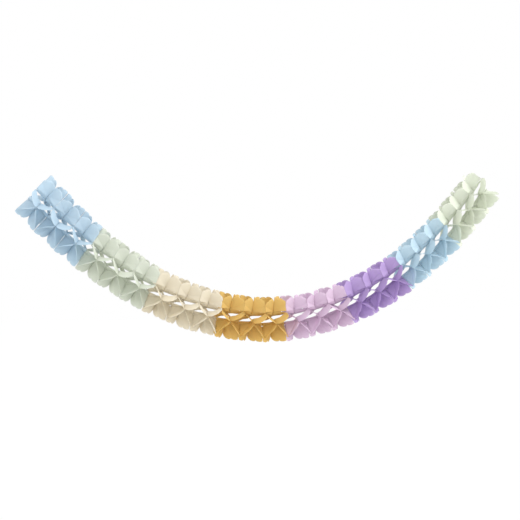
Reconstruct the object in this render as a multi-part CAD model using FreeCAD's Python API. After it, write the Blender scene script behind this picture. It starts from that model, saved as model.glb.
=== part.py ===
import FreeCAD, Part

import math
import os

# A hanging garland of die-cut paper sheets, 24 opened cells in eight colours.
#
# Every sheet is the same die-cut: an open ring with four lobed leaves.  Two sheets make a cell: they are glued
# face to face along the centre line of each leaf, in the cell's seam plane.  Cells are glued to each other by
# the small flat tabs of the rings, halfway between the leaves, in the boundary planes.  Pulled out, the ring
# runs in zigzags from seam to tab, further out to its front and back tabs than to its top and bottom ones, and
# the two halves of every leaf spread from the seam to the boundary planes.  The garland is twisted a little.
#
# Frame: +X along the span, +Z up, the front faces -Y.  The origin is the middle of the left end ring.

doc = FreeCAD.newDocument("PaperGarland")

SIZES = (
    ("cell_pitch", 50.0),  # seam to seam along the hanging line
    ("paper_thickness", 0.2),
    ("hang_radius", 500.0),  # radius of the hanging line at its lowest point
    ("lowest_cell", 11.5),  # how many cells in from the left end the line is lowest
    ("first_roll", 16.0),  # the leaves' turn about the hanging line at its left end, degrees
    ("last_roll", 48.0),  # the same at its right end: the garland is twisted
    ("lean_share", 0.15),  # how much of the line's slope the cells lean back to upright
    ("side_lean", 1.5),  # every cell's own lean to the right, degrees
    ("ring_inner", 9.0),  # ring's inner edge at a seam, from the hanging line
    ("ring_width", 9.0),
    ("wide_tab", 17.5),  # ring's inner edge at the front and back tabs
    ("close_tab", 9.0),  # ring's inner edge at the top and bottom tabs
    ("tab_width", 6.0),  # width of the ring at a tab
    ("tab_length", 7.0),  # glued length of a tab
    ("neck_width", 6.0),  # where a leaf joins the ring
    ("upright_notch", 21.0),  # from the neck to the notch in the rim of the upper and lower leaves
    ("level_notch", 10.0),  # the same for the front and back leaves
    ("valley_reach", 33.0),  # from the neck to the valley between the scallops
    ("first_rise", 4.0),  # rise of the first scallop over its ends
    ("second_rise", 3.0),
    ("upright_bow", 14.0),  # how far the open halves of the upper and lower leaves bow outwards, degrees
    ("level_bow", -5.0),
    ("flap_gap", 0.5),  # least distance of a half leaf from the next cell's
    # Tips and side edge feet of half leaves: from the seam plane, out the tab's way, towards the leaf.
    ("open_tip_along", 24.3),
    ("open_tip_out", 46.5),
    ("open_tip_beside", 6.8),
    ("open_foot_along", 22.0),
    ("open_foot_out", 15.5),
    ("open_foot_beside", 3.0),
    ("held_tip_along", 24.3),
    ("held_tip_out", 33.0),
    ("held_tip_beside", 16.0),
    ("held_foot_along", 24.5),
    ("held_foot_out", 28.0),
    ("held_foot_beside", 3.0),
    ("low_tip_along", 24.3),
    ("low_tip_out", 28.5),
    ("low_tip_beside", 2.0),
    ("low_foot_along", 24.0),
    ("low_foot_out", 24.0),
    ("low_foot_beside", 1.5),
)
COLOURS = ("blue", "sage", "cream", "mustard", "pink", "violet", "sky", "mint")
CELLS_PER_COLOUR = 3
CELLS = CELLS_PER_COLOUR * len(COLOURS)
LEAVES = 4
# Shares of half a leaf's turn, from its seam to its side edge.
VALLEY = 0.36
TIP = 0.58
RIM = (0.18, 0.45, TIP, 1.0)

sheet = doc.addObject("Spreadsheet::Sheet", "Sizes")
for line, (alias, value) in enumerate(SIZES, start=1):
    sheet.set(f"A{line}", alias)
    sheet.set(f"B{line}", str(value))
    sheet.setAlias(f"B{line}", alias)
doc.recompute()


def size(alias):
    return float(sheet.get(alias))


PITCH = size("cell_pitch")
HALF = PITCH / 2
THICK = size("paper_thickness")
HANG = size("hang_radius")
NECK_RADIUS = size("ring_inner") + size("ring_width")
FIRST_ROLL = math.radians(size("first_roll"))
LAST_ROLL = math.radians(size("last_roll"))
SIDE_LEAN = math.radians(size("side_lean"))
QUARTER = 2 * math.pi / LEAVES


# ---------------------------------------------------------------- the hanging line
def line_point(arc):
    """Point of the catenary at an arc length from its lowest point."""
    return FreeCAD.Vector(HANG * math.asinh(arc / HANG), 0, math.hypot(HANG, arc) - HANG)


def line_tangent(arc):
    return FreeCAD.Vector(HANG, 0, arc) / math.hypot(HANG, arc)


START = -size("lowest_cell") * PITCH
ORIGIN = line_point(START)


def hang(plane_arc, local):
    """Carries a point of a straight cell to the hanging line: local x runs along it, y back, z up."""
    arc = plane_arc + local.x
    share = (arc - START) / (PITCH * CELLS)
    roll = FIRST_ROLL + (LAST_ROLL - FIRST_ROLL) * share
    back = local.y * math.cos(roll) + local.z * math.sin(roll)
    high = local.z * math.cos(roll) - local.y * math.sin(roll)
    arc += high * math.tan(size("lean_share") * math.atan2(arc, HANG) + SIDE_LEAN)
    tangent = line_tangent(arc)
    up = FreeCAD.Vector(-tangent.z, 0, tangent.x)
    return line_point(arc) - ORIGIN + FreeCAD.Vector(0, back, 0) + up * high


def plane_placement(plane_arc):
    """Placement of the seam plane at an arc length: its x axis runs along the hanging line."""
    tangent = line_tangent(plane_arc)
    slope = math.degrees(math.atan2(tangent.z, tangent.x))
    turn = FreeCAD.Rotation(FreeCAD.Vector(0, -1, 0), slope)
    return FreeCAD.Placement(line_point(plane_arc) - ORIGIN, turn)


# ---------------------------------------------------------------- one sheet, straight
def radial(angle):
    """Unit vector out from the hanging line: angle from the front, towards up."""
    return FreeCAD.Vector(0, -math.cos(angle), math.sin(angle))


def tangential(angle):
    return FreeCAD.Vector(0, math.sin(angle), math.cos(angle))


def leaf_angle(leaf):
    return QUARTER / 2 + QUARTER * leaf


def by_wide_tab(leaf, half):
    return (leaf % 2 == 0) == (half == -1)


def turned_towards(start, end, share):
    """Unit vector that goes from one direction to another in even steps."""
    start, end = FreeCAD.Vector(start).normalize(), FreeCAD.Vector(end).normalize()
    whole = start.getAngle(end)
    return (start * math.sin((1 - share) * whole) + end * math.sin(share * whole)) / math.sin(whole)


def scallop(low, high, rise, share):
    return low + (high - low) * share + rise * math.sqrt(max(0.0, 1 - (2 * share - 1) ** 2))


def rib(side, leaf, half, turned):
    """Half a leaf's rib from the neck to the rim, by the share of the leaf's turn from seam to side edge."""
    upright = leaf % 2 == 0
    kind = "open"
    bow = math.radians(size("upright_bow" if upright else "level_bow"))
    if by_wide_tab(leaf, half):
        kind = "held" if upright else "low"
        bow = 0.0
    out = radial(leaf_angle(leaf))
    tab_angle = leaf_angle(leaf) + half * QUARTER / 2
    ends = {}
    for name in ("tip", "foot"):
        ends[name] = (
            FreeCAD.Vector(side * size(f"{kind}_{name}_along"), 0, 0)
            + radial(tab_angle) * size(f"{kind}_{name}_out")
            - tangential(tab_angle) * (half * size(f"{kind}_{name}_beside"))
            - out * NECK_RADIUS
        )
    if turned > TIP:
        return ends["tip"] + (ends["foot"] - ends["tip"]) * ((turned - TIP) / (1 - TIP))
    share = turned / TIP
    direction = turned_towards(out, ends["tip"], share)
    aside = tangential(leaf_angle(leaf)) * half
    aside = (aside - direction * aside.dot(direction)).normalize()
    bend = bow * math.sin(math.pi * share)
    direction = direction * math.cos(bend) + aside * math.sin(bend)
    if turned < VALLEY:
        notch = size("upright_notch" if upright else "level_notch")
        return direction * scallop(notch, size("valley_reach"), size("first_rise"), turned / VALLEY)
    share = (turned - VALLEY) / (TIP - VALLEY)
    return direction * scallop(size("valley_reach"), ends["tip"].Length, size("second_rise"), share)


def sheet_points(side):
    """Points of the sheet's middle surface, with side +1 right of the seam plane and -1 left of it."""
    along = FreeCAD.Vector(side, 0, 0)
    seam = along * (THICK / 2)
    boundary = along * (HALF - THICK / 2)
    points = {}
    for leaf in range(LEAVES):
        out = radial(leaf_angle(leaf))
        across = tangential(leaf_angle(leaf))
        points["inner", leaf] = seam + out * size("ring_inner")
        points["notch", leaf] = seam + out * NECK_RADIUS + rib(side, leaf, 1, 0.0)
        for half in (1, -1):
            neck = seam + out * NECK_RADIUS + across * (half * size("neck_width") / 2)
            points["neck", leaf, half] = neck
            for step, turned in enumerate(RIM, start=1):
                rim = seam + out * NECK_RADIUS + rib(side, leaf, half, turned)
                rim.x = side * min(abs(rim.x), HALF - size("flap_gap"))
                points["rim", leaf, half, step] = rim
        tab_angle = leaf_angle(leaf) + QUARTER / 2
        out = radial(tab_angle)
        across = tangential(tab_angle)
        inner = size("wide_tab" if by_wide_tab(leaf, 1) else "close_tab")
        points["tab_outer", leaf] = boundary + out * (inner + size("tab_width"))
        for half in (1, -1):
            foot = out * inner + across * (half * size("tab_length") / 2)
            points["tab_inner", leaf, half] = boundary + foot
    return points


def sheet_triangles():
    """Triangles of the middle surface by their point names, all turned the same way."""
    triangles = []
    for leaf in range(LEAVES):
        for half in (1, -1):
            tab = leaf if half == 1 else (leaf - 1) % LEAVES
            inner = ("inner", leaf)
            neck = ("neck", leaf, half)
            notch = ("notch", leaf)
            tab_outer = ("tab_outer", tab)
            tab_inner = ("tab_inner", tab, -half)
            rim = [notch] + [("rim", leaf, half, step) for step in range(1, len(RIM) + 1)]
            found = [(inner, notch, neck), (inner, neck, tab_inner), (neck, tab_outer, tab_inner)]
            found += [(neck, here, there) for here, there in zip(rim, rim[1:])]
            triangles += found if half == 1 else [(a, c, b) for a, b, c in found]
        triangles.append((("tab_inner", leaf, -1), ("tab_outer", leaf), ("tab_inner", leaf, 1)))
    return triangles


def point_normals(points, triangles):
    """Where the paper is glued its normal is the hanging line's own; elsewhere its triangles' mean."""
    normals = {name: FreeCAD.Vector() for name in points}
    for a, b, c in triangles:
        area = (points[b] - points[a]).cross(points[c] - points[a])
        for name in (a, b, c):
            normals[name] += area
    for name in normals:
        if name[0] == "rim":
            normals[name].normalize()
        else:
            normals[name] = FreeCAD.Vector(-1, 0, 0)
    return normals


def paper_faces(points, triangles):
    """Corner triples of the closed skin of the sheet: both sides and the cut edge."""
    normals = point_normals(points, triangles)
    top = {name: points[name] + normals[name] * (THICK / 2) for name in points}
    bottom = {name: points[name] - normals[name] * (THICK / 2) for name in points}
    edges = {(a, b) for triple in triangles for a, b in zip(triple, triple[1:] + triple[:1])}
    skin = [(top[a], top[b], top[c]) for a, b, c in triangles]
    skin += [(bottom[a], bottom[c], bottom[b]) for a, b, c in triangles]
    for a, b in sorted(edges, key=str):
        if (b, a) not in edges:
            skin.append((bottom[a], bottom[b], top[b]))
            skin.append((bottom[a], top[b], top[a]))
    return skin


def sheet_solid(side, plane_arc):
    """The hung sheet in its own frame, which is its seam plane's."""
    home = plane_placement(plane_arc).inverse()
    faces = []
    for corners in paper_faces(sheet_points(side), sheet_triangles()):
        placed = [home.multVec(hang(plane_arc, corner)) for corner in corners]
        faces.append(Part.Face(Part.makePolygon(placed + placed[:1])))
    shell = Part.Shell(faces)
    shell.sewShape()
    solid = Part.Solid(shell)
    if solid.Volume < 0:
        solid.reverse()
    return solid


# ---------------------------------------------------------------- the garland
nodes = []
cell = 0
for colour in COLOURS:
    for number in range(CELLS_PER_COLOUR):
        plane_arc = START + (cell + 0.5) * PITCH
        for order, side in enumerate((-1, 1), start=1):
            label = f"{colour}_sheet_{2 * number + order}"
            node = doc.addObject("Part::Feature", label)
            node.Label = label
            node.Shape = sheet_solid(side, plane_arc)
            node.Placement = plane_placement(plane_arc)
            nodes.append(node)
        cell += 1

doc.recompute()
for thing in doc.Objects:
    if "Invalid" in thing.State or "Error" in thing.State:
        raise RuntimeError(f"{thing.Label} failed: {thing.State}")
for node in nodes:
    if node.Shape.isNull() or not node.Shape.isValid() or len(node.Shape.Solids) != 1:
        raise RuntimeError(f"{node.Label} is not one valid solid")

os.makedirs("parts", exist_ok=True)
for node in nodes:
    node.Shape.exportStep(f"parts/{node.Label}.step")
print(len(nodes), "sheets, first", round(nodes[0].Shape.Volume, 1), "mm3")
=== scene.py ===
"""Paper garland: 48 die-cut sheets in eight colours, opened into 24 cells and hung from its end rings."""

import math
import random

import bmesh
import bpy
from bpy.props import FloatProperty, FloatVectorProperty, IntProperty, PointerProperty
from mathutils import Matrix, Vector, noise


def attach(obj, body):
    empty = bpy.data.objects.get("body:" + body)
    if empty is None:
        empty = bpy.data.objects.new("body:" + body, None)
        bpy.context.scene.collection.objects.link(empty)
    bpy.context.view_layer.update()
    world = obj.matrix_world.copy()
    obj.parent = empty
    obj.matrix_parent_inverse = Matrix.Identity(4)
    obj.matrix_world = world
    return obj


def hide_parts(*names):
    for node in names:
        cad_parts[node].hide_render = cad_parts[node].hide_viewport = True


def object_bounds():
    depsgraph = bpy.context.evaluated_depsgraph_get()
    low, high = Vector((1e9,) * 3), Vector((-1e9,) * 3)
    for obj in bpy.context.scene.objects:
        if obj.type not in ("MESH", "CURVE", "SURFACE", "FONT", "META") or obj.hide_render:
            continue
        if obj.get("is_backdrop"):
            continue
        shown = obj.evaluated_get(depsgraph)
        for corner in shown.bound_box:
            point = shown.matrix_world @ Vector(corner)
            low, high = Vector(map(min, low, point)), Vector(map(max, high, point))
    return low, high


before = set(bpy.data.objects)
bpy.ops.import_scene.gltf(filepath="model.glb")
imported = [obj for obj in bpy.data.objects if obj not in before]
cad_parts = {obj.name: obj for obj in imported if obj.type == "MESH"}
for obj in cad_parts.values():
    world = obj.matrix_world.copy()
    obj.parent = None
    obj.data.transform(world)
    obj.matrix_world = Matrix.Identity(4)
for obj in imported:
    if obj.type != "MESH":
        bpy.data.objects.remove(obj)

bl_info = {
    "name": "Paper Garland",
    "version": (1, 0, 0),
    "blender": (4, 5, 0),
    "location": "View3D > Sidebar > Garland",
    "description": "A hanging garland of die-cut paper sheets that open into cells",
    "category": "Add Mesh",
}

COLOURS = ("blue", "sage", "cream", "mustard", "pink", "violet", "sky", "mint")
CELLS_PER_COLOUR = 3
LEAVES = 4
QUARTER = 2 * math.pi / LEAVES
CELLS = CELLS_PER_COLOUR * len(COLOURS)
WELD_DISTANCE = 0.00002
SENSOR_WIDTH = 36.0
# Places of a colour Mix node's two colours among its inputs.
MIX_FIRST_COLOUR = 6
MIX_SECOND_COLOUR = 7
WHITE = (1.0, 1.0, 1.0, 1.0)
PALE_GREY = (0.9, 0.9, 0.9, 1.0)
# Where the lamps stand, from the middle of the garland.
KEY_PLACE = (1.5, -1.3, 1.7)
FILL_PLACE = (-1.6, -1.8, 0.4)


# ---------------------------------------------------------------- settings
def length(label, text, default):
    return FloatProperty(
        name=label, description=text, default=default, min=0.0, subtype="DISTANCE", unit="LENGTH"
    )


def place(label, text, default):
    return FloatProperty(name=label, description=text, default=default, subtype="DISTANCE", unit="LENGTH")


def amount(label, text, default):
    return FloatProperty(name=label, description=text, default=default, min=0.0)


def turn(label, text, degrees):
    return FloatProperty(name=label, description=text, default=math.radians(degrees), subtype="ANGLE")


def share(label, text, default):
    return FloatProperty(name=label, description=text, default=default, min=0.0, max=1.0, subtype="FACTOR")


def spot(label, text, along, out, beside):
    """A point in millimetres: from the seam plane, from the hanging line the tab's way, towards the leaf."""
    return FloatVectorProperty(
        name=label,
        description=text,
        default=(along / 1000, out / 1000, beside / 1000),
        size=3,
        subtype="XYZ",
        unit="LENGTH",
    )


def tint(label, red, green, blue):
    return FloatVectorProperty(
        name=label,
        description=f"Colour of the {label.lower()} paper",
        default=(red, green, blue),
        min=0.0,
        max=1.0,
        size=3,
        subtype="COLOR",
    )


class HangSettings(bpy.types.PropertyGroup):
    """How the garland hangs."""

    pitch: length("Cell pitch", "Seam to seam along the hanging line", 0.050)
    radius: length("Hang radius", "Radius of the hanging line at its lowest point", 0.500)
    lowest: amount("Lowest cell", "Cells between the left end and the lowest point", 11.5)
    first_roll: turn("First roll", "Turn of the leaves about the hanging line at the left end", 16.0)
    last_roll: turn("Last roll", "Turn of the leaves about the hanging line at the right end", 48.0)
    lean: share("Lean", "Share of the line's slope by which the cells lean back to upright", 0.15)
    side_lean: turn("Side lean", "How far every cell leans towards the right end", 1.5)
    seed: IntProperty(name="Seed", description="Settles the small differences of cells", default=4, min=1)
    drift: length("Drift", "How far the hung paper strays from the even shape", 0.0012)
    drift_size: length("Drift size", "Distance over which the paper strays one way", 0.060)


class SheetSettings(bpy.types.PropertyGroup):
    """Die-cut sheet, as it stands opened."""

    thickness: length("Paper thickness", "Thickness of the sheet", 0.0002)
    ring_inner: length("Ring inner", "Ring's inner edge at a seam, from the hanging line", 0.009)
    ring_width: length("Ring width", "Width of the ring's ribbon at a seam", 0.009)
    wide_tab: length("Wide tab", "Hanging line to the ring's inner edge at the front and back tabs", 0.0175)
    close_tab: length("Close tab", "Hanging line to the ring's inner edge at the top and bottom tabs", 0.009)
    tab_width: length("Tab width", "Width of the ring's ribbon at a tab", 0.006)
    seam_bend: length("Seam bend", "How far the ribbon stays flat beside a seam", 0.006)
    tab_bend: length("Tab bend", "How far the ribbon stays flat beside a tab", 0.005)
    neck: length("Neck", "How far a leaf is joined to the ring on each side of its seam", 0.003)
    upright_notch: length("Upright notch", "From the neck to the notch in an upright leaf's rim", 0.021)
    level_notch: length("Level notch", "From the neck to the notch in a level leaf's rim", 0.010)
    valley: length("Valley reach", "From the neck to the valley between scallops", 0.033)
    first_rise: length("First scallop", "Rise of the first scallop over its ends", 0.004)
    second_rise: length("Second scallop", "Rise of the second scallop over its ends", 0.003)
    valley_place: share("Valley place", "Share of the leaf's turn at the valley", 0.36)
    tip_place: share("Tip place", "Share of the leaf's turn at its tip", 0.58)
    open_tip: spot("Open tip", "Tip of a half leaf beside a close tab", 24.3, 46.5, 6.8)
    open_corner: spot("Open corner", "Foot of a half leaf beside a close tab", 22, 15.5, 3)
    held_tip: spot("Held tip", "Tip of an upright half leaf beside a wide tab", 24.3, 33, 16)
    held_corner: spot("Held corner", "Foot of an upright half leaf beside a wide tab", 24.5, 28, 3)
    low_tip: spot("Low tip", "Tip of a level half leaf beside a wide tab", 24.3, 28.5, 2)
    low_corner: spot("Low corner", "Foot of a level half leaf beside a wide tab", 24, 24, 1.5)
    upright_bow: turn("Upright bow", "How far the open halves of the upright leaves bow outwards", 14.0)
    level_bow: turn("Level bow", "How far the open halves of the level leaves bow outwards", -5.0)
    flap_gap: length("Flap gap", "Least distance of a half leaf from the next cell's", 0.0004)
    bow_spread: turn("Bow spread", "How far the bow of one half leaf strays from another", 5.0)
    corner_spread: length("Corner spread", "How far the corner of one half leaf strays from another", 0.0015)


class PaperSettings(bpy.types.PropertyGroup):
    """Colours and finish of the papers."""

    blue: tint("Blue", 0.60, 0.72, 0.80)
    sage: tint("Sage", 0.73, 0.76, 0.68)
    cream: tint("Cream", 0.80, 0.75, 0.63)
    mustard: tint("Mustard", 0.76, 0.56, 0.20)
    pink: tint("Pink", 0.75, 0.62, 0.74)
    violet: tint("Violet", 0.56, 0.43, 0.70)
    sky: tint("Sky", 0.60, 0.73, 0.80)
    mint: tint("Mint", 0.76, 0.79, 0.70)
    glow: share("Glow", "Share of the light that passes through the paper", 0.42)
    roughness: share("Roughness", "Roughness of the paper", 0.85)
    sheen: share("Specular level", "How strongly the paper's surface reflects", 0.25)
    cloud_scale: amount("Cloud scale", "Clouds of the paper's pulp to the metre", 45.0)
    cloud_depth: share("Cloud depth", "How much the clouds change the paper's shade", 0.12)
    fibre_scale: amount("Fibre scale", "Fibres to the metre", 1400.0)
    fibre_depth: share("Fibre depth", "How much the fibres change the paper's shade", 0.06)
    shade: share("Shade", "The paper's shade without clouds and fibres", 0.91)
    bump_strength: share("Bump strength", "How strongly the fibres stand out", 0.15)
    bump_height: length("Bump height", "Height of the fibres", 0.0002)


class StageSettings(bpy.types.PropertyGroup):
    """Camera, lamps and floor."""

    focal: length("Focal length", "Focal length of the camera", 0.0484615)
    distance: length("Distance", "Camera to the aim point", 1.506)
    yaw: turn("Yaw", "How far the camera stands to the left of the front", 17.2)
    pitch: turn("Pitch", "How far the camera looks down", 1.0)
    aim_x: place("Aim X", "Aim point along the span", 0.464)
    aim_z: place("Aim Z", "Aim point's height", -0.134)
    key_size: length("Key size", "Width of the key lamp", 1.4)
    key_power: amount("Key power", "Power of the key lamp in watts", 50.0)
    fill_size: length("Fill size", "Width of the fill lamp", 2.0)
    fill_power: amount("Fill power", "Power of the fill lamp in watts", 10.0)
    room: amount("Room light", "Strength of the even light from all around", 1.15)
    floor_gap: length("Floor gap", "How far the floor is under the garland", 0.55)
    floor_half: length("Floor half", "Half the width of the floor", 6.0)
    floor_glow: share("Floor glow", "Share of the floor's own white where the camera sees it", 0.95)


# ---------------------------------------------------------------- shader expressions
class Socket:
    """An output socket that takes part in arithmetic."""

    def __init__(self, graph, socket):
        self.graph = graph
        self.socket = socket

    def _math(self, operation, first, second):
        return self.graph.node("ShaderNodeMath", {"operation": operation}, (first, second))

    def __add__(self, other):
        return self._math("ADD", self, other)

    def __mul__(self, other):
        return self._math("MULTIPLY", self, other)


class Graph:
    """Node tree of a material or the world, with its nodes made by one method."""

    def __init__(self, owner):
        owner.use_nodes = True
        self.tree = owner.node_tree
        self.tree.nodes.clear()

    def node(self, kind, settings=None, inputs=(), output=0):
        """Adds a node, sets it up and gives its output; inputs go by place or by name."""
        node = self.tree.nodes.new(kind)
        for name, value in (settings or {}).items():
            setattr(node, name, value)
        pairs = inputs.items() if isinstance(inputs, dict) else enumerate(inputs)
        for key, value in pairs:
            if isinstance(value, Socket):
                self.tree.links.new(value.socket, node.inputs[key])
            else:
                node.inputs[key].default_value = value
        return Socket(self, node.outputs[output]) if len(node.outputs) else None


# ---------------------------------------------------------------- the hanging line
class HangingLine:
    """Catenary that the cells hang along, measured by its arc length from the lowest point."""

    def __init__(self, hang):
        self.radius = hang.radius
        self.pitch = hang.pitch
        self.first_roll = hang.first_roll
        self.last_roll = hang.last_roll
        self.lean = hang.lean
        self.side_lean = hang.side_lean
        self.start = -hang.lowest * hang.pitch
        self.origin = self.point(self.start)

    def point(self, arc):
        along = self.radius * math.asinh(arc / self.radius)
        return Vector((along, 0, math.hypot(self.radius, arc) - self.radius))

    def hang(self, seam_arc, local):
        """Carries a point of a straight cell to the line: local x runs along it, y back, z up."""
        arc = seam_arc + local.x
        part = (arc - self.start) / (self.pitch * CELLS)
        roll = self.first_roll + (self.last_roll - self.first_roll) * part
        turned = Matrix.Rotation(-roll, 3, "X") @ local
        arc += turned.z * math.tan(self.lean * math.atan2(arc, self.radius) + self.side_lean)
        tangent = Vector((self.radius, 0, arc)).normalized()
        up = Vector((-tangent.z, 0, tangent.x))
        return self.point(arc) - self.origin + Vector((0, turned.y, 0)) + up * turned.z


def radial(angle):
    """Unit vector out from the hanging line: angle from the front, towards up."""
    return Vector((0, -math.cos(angle), math.sin(angle)))


def tangential(angle):
    return Vector((0, math.sin(angle), math.cos(angle)))


# ---------------------------------------------------------------- one sheet
class SheetShape:
    """Shape of an opened die-cut sheet, on side +1 or -1 of its seam plane."""

    LEAF_ROWS = 11
    LEAF_COLUMNS = 51
    RIBBON_ROWS = 5
    RIBBON_COLUMNS = 17
    TANGENT = 3  # a Hermite curve's tangent is three times its straight reach

    def __init__(self, hang, sheet, side, cell):
        self.hang = hang
        self.sheet = sheet
        self.side = side
        self.cell = cell
        self.furthest = hang.pitch / 2 - sheet.flap_gap
        # Every sheet has a seed of its own, so one sheet's differences don't hang on another's.
        chance = random.Random(hang.seed * 1000 + cell * 10 + side)
        self.ribs = {}
        for leaf in range(LEAVES):
            for half in (1, -1):
                self.ribs[leaf, half] = self.main_ribs(leaf, half, chance)

    def leaf_angle(self, leaf):
        return QUARTER / 2 + QUARTER * leaf

    def by_wide_tab(self, leaf, half):
        return (leaf % 2 == 0) == (half == -1)

    def main_ribs(self, leaf, half, chance):
        """The half leaf's neck direction, its ribs to the tip and the side edge's foot, and its bow."""
        sheet = self.sheet
        upright = leaf % 2 == 0
        bow = chance.uniform(-1, 1) * sheet.bow_spread
        if not self.by_wide_tab(leaf, half):
            kind = "open"
            bow += sheet.upright_bow if upright else sheet.level_bow
        else:
            kind = "held" if upright else "low"
        out = radial(self.leaf_angle(leaf))
        neck = out * (sheet.ring_inner + sheet.ring_width)
        tab_angle = self.leaf_angle(leaf) + half * QUARTER / 2
        ribs = []
        for name in ("tip", "corner"):
            along, away, beside = getattr(sheet, f"{kind}_{name}")
            target = Vector((self.side * along, 0, 0)) + radial(tab_angle) * away
            target -= tangential(tab_angle) * (half * beside)
            target += Vector([chance.uniform(-1, 1) for _ in range(3)]) * sheet.corner_spread
            target.x = self.side * min(abs(target.x), self.furthest)
            ribs.append(target - neck)
        return out, ribs[0], ribs[1], bow

    def ribbon(self, leaf, half, run, width):
        """Point of the ribbon: run 0 at the leaf's seam and 1 at the tab, width 0 at the inner edge."""
        sheet = self.sheet
        angle = self.leaf_angle(leaf)
        tab_angle = angle + half * QUARTER / 2
        half_thick = sheet.thickness / 2
        start = radial(angle) * (sheet.ring_inner + width * sheet.ring_width)
        start += Vector((self.side * half_thick, 0, 0))
        inner = sheet.wide_tab if self.by_wide_tab(leaf, half) else sheet.close_tab
        end = radial(tab_angle) * (inner + width * sheet.tab_width)
        end += Vector((self.side * (self.hang.pitch / 2 - half_thick), 0, 0))
        leave = tangential(angle) * (half * sheet.seam_bend * self.TANGENT)
        arrive = tangential(tab_angle) * (half * sheet.tab_bend * self.TANGENT)
        square, cube = run**2, run**3
        return (
            start * (2 * cube - 3 * square + 1)
            + leave * (cube - 2 * square + run)
            + end * (3 * square - 2 * cube)
            + arrive * (cube - square)
        )

    def scallop(self, low, high, rise, part):
        return low + (high - low) * part + rise * math.sqrt(max(0.0, 1 - (2 * part - 1) ** 2))

    def rib(self, leaf, half, turned):
        """Rib from the neck to the rim, by the share of the leaf's turn from its seam to its side edge."""
        sheet = self.sheet
        out, tip, corner, bow = self.ribs[leaf, half]
        if turned < sheet.tip_place:
            part = turned / sheet.tip_place
            across = tangential(self.leaf_angle(leaf)) * half
            direction = out.slerp(tip.normalized(), part)
            aside = (across - direction * across.dot(direction)).normalized()
            bend = bow * math.sin(math.pi * part)
            direction = direction * math.cos(bend) + aside * math.sin(bend)
            if turned < sheet.valley_place:
                part = turned / sheet.valley_place
                notch = sheet.level_notch if leaf % 2 else sheet.upright_notch
                return direction * self.scallop(notch, sheet.valley, sheet.first_rise, part)
            part = (turned - sheet.valley_place) / (sheet.tip_place - sheet.valley_place)
            return direction * self.scallop(sheet.valley, tip.length, sheet.second_rise, part)
        part = (turned - sheet.tip_place) / (1 - sheet.tip_place)
        return tip.lerp(corner, part)

    def leaf(self, leaf, half, turned, out):
        """Point of half a leaf: turned 0 at seam, 1 at side edge; out 0 at the neck, 1 at the rim."""
        neck_run = self.sheet.neck / (self.sheet.seam_bend * self.TANGENT)
        point = self.ribbon(leaf, half, neck_run * turned, 1.0) + self.rib(leaf, half, turned) * out
        point.x = self.side * min(abs(point.x), self.furthest)
        return point

    def place(self, line, local):
        """Hangs a point and lets it stray with the paper around it, so glued places stay together."""
        point = line.hang(line.start + (self.cell + 0.5) * line.pitch, local)
        stray = noise.noise_vector(point / self.hang.drift_size) * self.hang.drift
        return point + stray


def add_patch(mesh, columns, rows, shape):
    """Adds a grid and moves its vertices to shape(u, v), both from 0 to 1."""
    made = bmesh.ops.create_grid(mesh, x_segments=columns - 1, y_segments=rows - 1, size=0.5)
    for vertex in made["verts"]:
        vertex.co = shape(vertex.co.x + 0.5, vertex.co.y + 0.5)
    return made["verts"]


def build_sheet(name, hang, sheet, side, cell, material):
    """Makes one sheet of the garland as a mesh with the paper's thickness."""
    shape = SheetShape(hang, sheet, side, cell)
    line = HangingLine(hang)
    mesh = bmesh.new()
    for leaf in range(LEAVES):
        for half in (1, -1):
            add_patch(
                mesh,
                shape.LEAF_COLUMNS,
                shape.LEAF_ROWS,
                lambda turned, out: shape.place(line, shape.leaf(leaf, half, turned, out)),
            )
            add_patch(
                mesh,
                shape.RIBBON_COLUMNS,
                shape.RIBBON_ROWS,
                lambda run, width: shape.place(line, shape.ribbon(leaf, half, run, width)),
            )
    bmesh.ops.remove_doubles(mesh, verts=mesh.verts[:], dist=WELD_DISTANCE)
    bmesh.ops.recalc_face_normals(mesh, faces=mesh.faces[:])
    for face in mesh.faces:
        face.smooth = True
    data = bpy.data.meshes.new(name)
    mesh.to_mesh(data)
    mesh.free()
    data.materials.append(material)
    piece = bpy.data.objects.new(name, data)
    bpy.context.collection.objects.link(piece)
    paper = piece.modifiers.new("Paper", "SOLIDIFY")
    paper.thickness = sheet.thickness
    paper.offset = 0.0
    paper.use_even_offset = False
    return piece


def paper_material(name, colour, paper):
    """Matt dyed paper with faint clouds and fibres, which lets light through."""
    material = bpy.data.materials.new(name)
    graph = Graph(material)
    point = graph.node("ShaderNodeTexCoord", output="Object")
    cloud_inputs = {"Vector": point, "Scale": paper.cloud_scale, "Detail": 2.0}
    cloud = graph.node("ShaderNodeTexNoise", {}, cloud_inputs)
    fibre_inputs = {"Vector": point, "Scale": paper.fibre_scale, "Detail": 3.0}
    fibre = graph.node("ShaderNodeTexNoise", {}, fibre_inputs)
    shade = cloud * paper.cloud_depth + fibre * paper.fibre_depth + paper.shade
    colour = (*colour, 1.0)
    mixed = graph.node(
        "ShaderNodeMix",
        {"data_type": "RGBA", "blend_type": "MULTIPLY"},
        {0: 1.0, MIX_FIRST_COLOUR: colour, MIX_SECOND_COLOUR: shade},
        output=2,
    )
    bump = graph.node(
        "ShaderNodeBump",
        {},
        {"Strength": paper.bump_strength, "Distance": paper.bump_height, "Height": fibre},
    )
    front = graph.node(
        "ShaderNodeBsdfPrincipled",
        {},
        {
            "Base Color": mixed,
            "Roughness": paper.roughness,
            "Specular IOR Level": paper.sheen,
            "Normal": bump,
        },
        output="BSDF",
    )
    through = graph.node("ShaderNodeBsdfTranslucent", {}, {"Color": colour}, output="BSDF")
    both = graph.node("ShaderNodeMixShader", {}, (paper.glow, front, through))
    graph.node("ShaderNodeOutputMaterial", {}, {"Surface": both})
    return material


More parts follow.
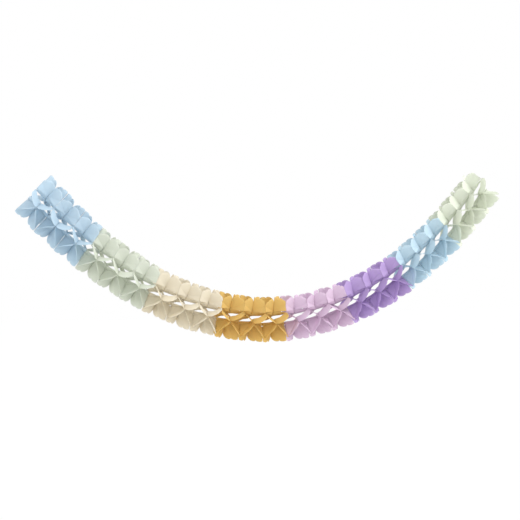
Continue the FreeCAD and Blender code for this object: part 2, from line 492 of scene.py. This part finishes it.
# ---------------------------------------------------------------- operators
class GARLAND_OT_sheets(bpy.types.Operator):
    """Adds the 48 paper sheets of the garland in place of the frame's own"""

    bl_idname = "garland.sheets"
    bl_label = "Paper sheets"

    def execute(self, context):
        hang = context.scene.garland_hang
        sheet = context.scene.garland_sheet
        paper = context.scene.garland_paper
        noise.seed_set(hang.seed)  # without it the noise is another one in every run
        cell = 0
        for colour in COLOURS:
            material = paper_material(f"{colour}_paper_finish", getattr(paper, colour), paper)
            for number in range(CELLS_PER_COLOUR):
                for order, side in enumerate((-1, 1), start=1):
                    label = f"{colour}_sheet_{2 * number + order}"
                    piece = build_sheet(f"{label}_paper", hang, sheet, side, cell, material)
                    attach(piece, "root")
                    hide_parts(label)
                cell += 1
        return {"FINISHED"}


class GARLAND_OT_stage(bpy.types.Operator):
    """Adds the pale floor, the soft lamps and the camera"""

    bl_idname = "garland.stage"
    bl_label = "Stage"

    def execute(self, context):
        stage = context.scene.garland_stage
        low, high = (Vector(corner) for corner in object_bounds())
        middle = (low + high) / 2
        self.add_floor(stage, middle, low.z - stage.floor_gap)
        self.add_lamp("key_lamp", middle, KEY_PLACE, stage.key_size, stage.key_power)
        self.add_lamp("fill_lamp", middle, FILL_PLACE, stage.fill_size, stage.fill_power)
        self.add_world(context, stage)
        self.add_camera(context, stage)
        return {"FINISHED"}

    def add_floor(self, stage, middle, height):
        mesh = bmesh.new()
        bmesh.ops.create_grid(mesh, x_segments=1, y_segments=1, size=stage.floor_half)
        bmesh.ops.translate(mesh, verts=mesh.verts[:], vec=(middle.x, middle.y, height))
        data = bpy.data.meshes.new("floor")
        mesh.to_mesh(data)
        mesh.free()
        material = bpy.data.materials.new("floor_finish")
        graph = Graph(material)
        matt = graph.node("ShaderNodeBsdfDiffuse", {}, {"Color": PALE_GREY})
        white = graph.node("ShaderNodeEmission", {}, {"Color": WHITE, "Strength": 1.0})
        seen = graph.node("ShaderNodeLightPath", output="Is Camera Ray")
        mixed = graph.node("ShaderNodeMixShader", {}, (seen * stage.floor_glow, matt, white))
        graph.node("ShaderNodeOutputMaterial", {}, {"Surface": mixed})
        data.materials.append(material)
        floor = bpy.data.objects.new("floor", data)
        bpy.context.collection.objects.link(floor)
        floor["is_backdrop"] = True

    def add_lamp(self, name, target, away, size, power):
        lamp = bpy.data.lights.new(name, "AREA")
        lamp.shape = "DISK"
        lamp.size = size
        lamp.energy = power
        holder = bpy.data.objects.new(name, lamp)
        holder.location = target + Vector(away)
        holder.rotation_euler = (target - holder.location).to_track_quat("-Z", "Y").to_euler()
        bpy.context.collection.objects.link(holder)

    def add_world(self, context, stage):
        world = bpy.data.worlds.new("room")
        graph = Graph(world)
        soft = graph.node("ShaderNodeBackground", {}, {"Color": WHITE, "Strength": stage.room})
        white = graph.node("ShaderNodeBackground", {}, {"Color": WHITE, "Strength": 1.0})
        seen = graph.node("ShaderNodeLightPath", output="Is Camera Ray")
        glossy = graph.node("ShaderNodeLightPath", output="Is Glossy Ray")
        clear = graph.node("ShaderNodeLightPath", output="Is Transmission Ray")
        mixed = graph.node("ShaderNodeMixShader", {}, (seen + glossy + clear, soft, white))
        graph.node("ShaderNodeOutputWorld", {}, {"Surface": mixed})
        context.scene.world = world

    def add_camera(self, context, stage):
        view = Vector(
            (
                math.sin(stage.yaw) * math.cos(stage.pitch),
                math.cos(stage.yaw) * math.cos(stage.pitch),
                -math.sin(stage.pitch),
            )
        )
        data = bpy.data.cameras.new("camera")
        data.lens = stage.focal * 1000
        data.sensor_width = SENSOR_WIDTH
        camera = bpy.data.objects.new("camera", data)
        camera.location = Vector((stage.aim_x, 0, stage.aim_z)) - view * stage.distance
        camera.rotation_euler = view.to_track_quat("-Z", "Y").to_euler()
        context.collection.objects.link(camera)
        context.scene.camera = camera
        context.scene.view_settings.view_transform = "Standard"


class GARLAND_PT_panel(bpy.types.Panel):
    """Lists the garland's pieces and settings"""

    bl_idname = "GARLAND_PT_panel"
    bl_label = "Paper Garland"
    bl_space_type = "VIEW_3D"
    bl_region_type = "UI"
    bl_category = "Garland"

    def draw(self, context):
        layout = self.layout
        for operator in OPERATORS:
            layout.operator(operator.bl_idname)
        for group in (
            context.scene.garland_hang,
            context.scene.garland_sheet,
            context.scene.garland_paper,
            context.scene.garland_stage,
        ):
            box = layout.box()
            for name in group.__annotations__:
                box.prop(group, name)


OPERATORS = (GARLAND_OT_sheets, GARLAND_OT_stage)
GROUPS = {
    "garland_hang": HangSettings,
    "garland_sheet": SheetSettings,
    "garland_paper": PaperSettings,
    "garland_stage": StageSettings,
}


def register():
    for group in (*GROUPS.values(), *OPERATORS, GARLAND_PT_panel):
        bpy.utils.register_class(group)
    for name, group in GROUPS.items():
        setattr(bpy.types.Scene, name, PointerProperty(type=group))


def unregister():
    for name in GROUPS:
        delattr(bpy.types.Scene, name)
    for group in (GARLAND_PT_panel, *reversed(OPERATORS), *reversed(GROUPS.values())):
        bpy.utils.unregister_class(group)


def main():
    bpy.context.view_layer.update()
    register()
    bpy.ops.garland.sheets()
    bpy.ops.garland.stage()


if __name__ == "__main__":
    main()
